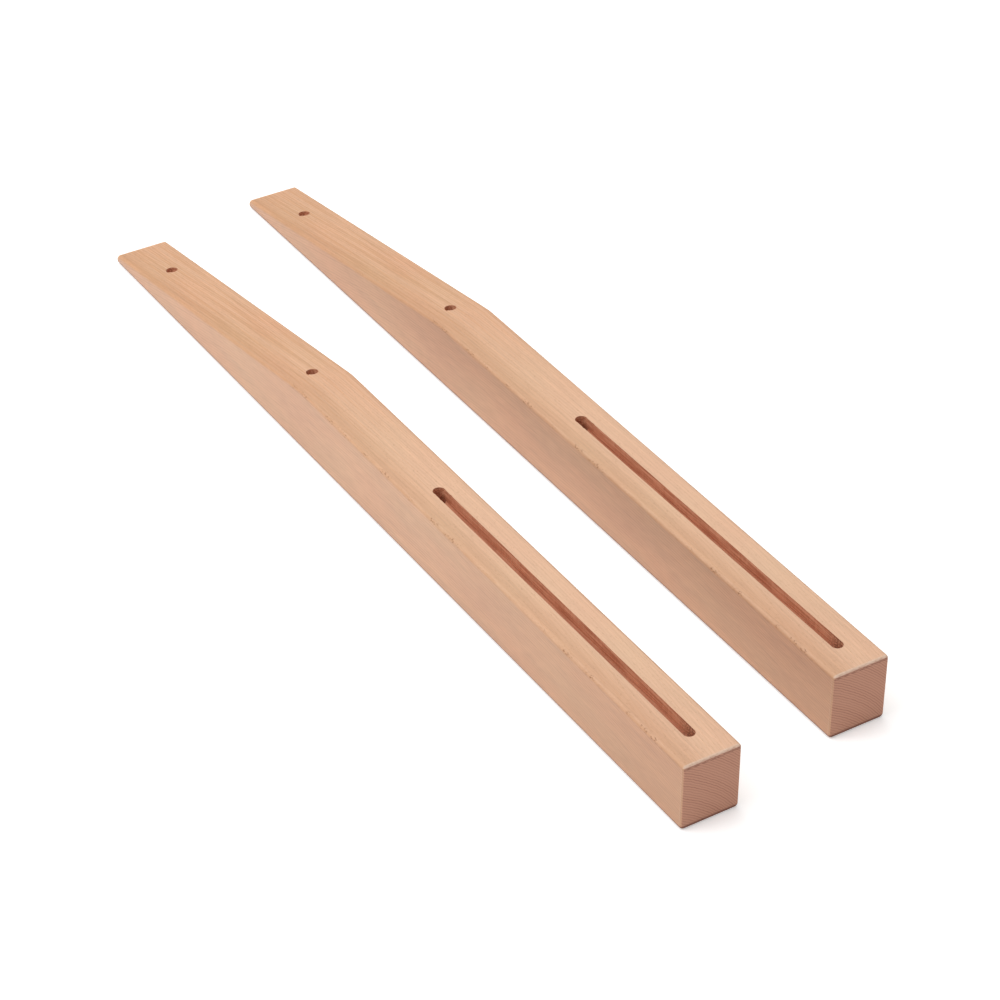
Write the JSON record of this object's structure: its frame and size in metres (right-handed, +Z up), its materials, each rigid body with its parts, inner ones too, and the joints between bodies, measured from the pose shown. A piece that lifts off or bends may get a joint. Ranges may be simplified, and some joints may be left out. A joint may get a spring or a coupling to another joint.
{
  "type": "loom leg pair",
  "caption": "Pair of solid beech loom legs, each a square-ended bar that tapers to a thin end, with a long round-ended groove and through bores.",
  "frame": {"origin": "on the surface that the legs lie on, at the middle of the pair's length and width", "axes": "+Z up, +Y along the legs from their square ends to their thin ends, +X from the left leg to the right leg"},
  "size_m": [0.174, 0.812, 0.051],
  "materials": {
    "beech": "planed and finely sanded, unvarnished"
  },
  "bodies": {
    "left_leg": {"left_leg": "beech"},
    "right_leg": {"right_leg": "beech"}
  },
  "joints": [
    {"name": "leg_spacing", "type": "slide", "parent": "left_leg", "child": "right_leg", "axis": [1, 0, 0], "range_m": [-0.08, 0.47]}
  ]
}
